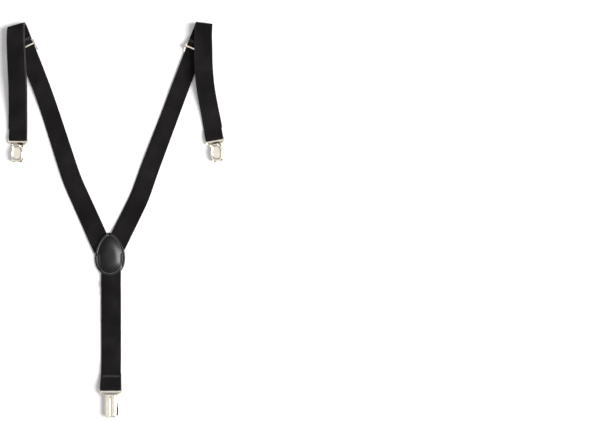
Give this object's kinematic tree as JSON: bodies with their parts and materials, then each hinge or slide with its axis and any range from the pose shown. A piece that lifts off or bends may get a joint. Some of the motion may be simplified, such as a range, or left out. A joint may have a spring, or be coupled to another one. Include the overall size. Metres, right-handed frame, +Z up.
{
  "type": "suspenders",
  "caption": "Y-back elastic webbing suspenders with clips, cam adjusters, folded shoulder straps and a stitched leather patch, laid flat.",
  "frame": {"origin": "on the surface that the suspenders lie on, under the centre of the leather patch", "axes": "+Y runs from the patch to the two folds, +X to the right of the patch, +Z up off the table"},
  "size_m": [0.2802, 0.5106, 0.0132],
  "materials": {
    "webbing": "matt ribbed elastic webbing",
    "leather": "semi-gloss, fine grain",
    "nickel": "polished, pale champagne",
    "brass": "polished, warm",
    "steel": "satin",
    "plastic": "matt"
  },
  "bodies": {
    "back": {"patch_backing": "leather", "patch_top": "leather", "strap_rear": "webbing", "clip_loop_rear": "webbing", "strap_back_left": "webbing", "strap_back_right": "webbing", "return_back_left": "webbing", "return_back_right": "webbing"},
    "adjuster_left": {"adjuster_cover_left": "nickel", "adjuster_rivet_left_a": "steel", "adjuster_rivet_left_b": "steel", "return_rise_left": "webbing"},
    "adjuster_lever_left": {"adjuster_lever_left": "brass", "adjuster_tab_left": "webbing"},
    "front_left": {"strap_fold_left": "webbing", "return_fold_left": "webbing", "strap_front_left": "webbing", "return_front_left": "webbing"},
    "strap_end_left": {"clip_loop_left": "webbing"},
    "clip_left": {"clip_plate_left": "nickel", "clip_pad_left": "plastic", "clip_pin_left": "steel"},
    "clip_lever_left": {"clip_lever_left": "nickel"},
    "adjuster_right": {"adjuster_cover_right": "nickel", "adjuster_rivet_right_a": "steel", "adjuster_rivet_right_b": "steel", "return_rise_right": "webbing"},
    "adjuster_lever_right": {"adjuster_lever_right": "brass", "adjuster_tab_right": "webbing"},
    "front_right": {"strap_fold_right": "webbing", "return_fold_right": "webbing", "strap_front_right": "webbing", "return_front_right": "webbing"},
    "strap_end_right": {"clip_loop_right": "webbing"},
    "clip_right": {"clip_plate_right": "nickel", "clip_pad_right": "plastic", "clip_pin_right": "steel"},
    "clip_lever_right": {"clip_lever_right": "nickel"},
    "clip_rear": {"clip_plate_rear": "nickel", "clip_pad_rear": "plastic", "clip_pin_rear": "steel"},
    "clip_lever_rear": {"clip_lever_rear": "nickel"}
  },
  "joints": [
    {"name": "adjuster_slide_left", "type": "slide", "parent": "back", "child": "adjuster_left", "axis": [0.3567, -0.9342, 0], "range_m": [0, 0.04], "deforming": ["return_back_left"]},
    {"name": "front_lift_left", "type": "hinge", "parent": "back", "child": "front_left", "pos_m": [-0.1175, 0.2912, 0.0072], "axis": [-0.9794, -0.2019, 0], "range_deg": [0, 70], "deforming": ["strap_fold_left", "return_fold_left"]},
    {"name": "adjuster_lever_hinge_left", "type": "hinge", "parent": "adjuster_left", "child": "adjuster_lever_left", "pos_m": [-0.10844, 0.26747, 0.0055], "axis": [0.8996, 0.4368, 0], "range_deg": [0, 84], "deforming": ["return_rise_left"]},
    {"name": "strap_length_left", "type": "slide", "parent": "front_left", "child": "strap_end_left", "axis": [0.014, 0.9999, 0], "range_m": [0, 0.02], "deforming": ["strap_front_left", "return_front_left"]},
    {"name": "clip_swing_left", "type": "hinge", "parent": "strap_end_left", "child": "clip_left", "pos_m": [-0.11894, 0.14948, 0.00275], "axis": [-0.9999, 0.014, 0], "range_deg": [0, 80]},
    {"name": "clip_lever_hinge_left", "type": "hinge", "parent": "clip_left", "child": "clip_lever_left", "pos_m": [-0.11932, 0.12249, 0.00515], "axis": [0.9999, -0.014, 0], "range_deg": [0, 95]},
    {"name": "adjuster_slide_right", "type": "slide", "parent": "back", "child": "adjuster_right", "axis": [-0.3527, -0.9358, 0], "range_m": [0, 0.04], "deforming": ["return_back_right"]},
    {"name": "front_lift_right", "type": "hinge", "parent": "back", "child": "front_right", "pos_m": [0.1199, 0.2932, 0.0072], "axis": [-0.9847, 0.1741, 0], "range_deg": [0, 70], "deforming": ["strap_fold_right", "return_fold_right"]},
    {"name": "adjuster_lever_hinge_right", "type": "hinge", "parent": "adjuster_right", "child": "adjuster_lever_right", "pos_m": [0.10918, 0.26475, 0.0055], "axis": [0.916, -0.4011, 0], "range_deg": [0, 84], "deforming": ["return_rise_right"]},
    {"name": "strap_length_right", "type": "slide", "parent": "front_right", "child": "strap_end_right", "axis": [-0.1702, 0.9854, 0], "range_m": [0, 0.02], "deforming": ["strap_front_right", "return_front_right"]},
    {"name": "clip_swing_right", "type": "hinge", "parent": "strap_end_right", "child": "clip_right", "pos_m": [0.13484, 0.15011, 0.00275], "axis": [-0.9854, -0.1702, 0], "range_deg": [0, 80]},
    {"name": "clip_lever_hinge_right", "type": "hinge", "parent": "clip_right", "child": "clip_lever_right", "pos_m": [0.13944, 0.12351, 0.00515], "axis": [0.9854, 0.1702, 0], "range_deg": [0, 95]},
    {"name": "clip_swing_rear", "type": "hinge", "parent": "back", "child": "clip_rear", "pos_m": [0.0013, -0.1732, 0.0057], "axis": [-1, 0, 0], "range_deg": [0, 80]},
    {"name": "clip_lever_hinge_rear", "type": "hinge", "parent": "clip_rear", "child": "clip_lever_rear", "pos_m": [0.0013, -0.2072, 0.0033], "axis": [-1, 0, 0], "range_deg": [0, 95]}
  ],
  "couplings": [
    {"joint": "adjuster_lever_hinge_left", "follows": "front_lift_left", "ratio": 1.2},
    {"joint": "strap_length_left", "follows": "adjuster_slide_left", "ratio": 0.5},
    {"joint": "adjuster_lever_hinge_right", "follows": "front_lift_right", "ratio": 1.2},
    {"joint": "strap_length_right", "follows": "adjuster_slide_right", "ratio": 0.5}
  ]
}
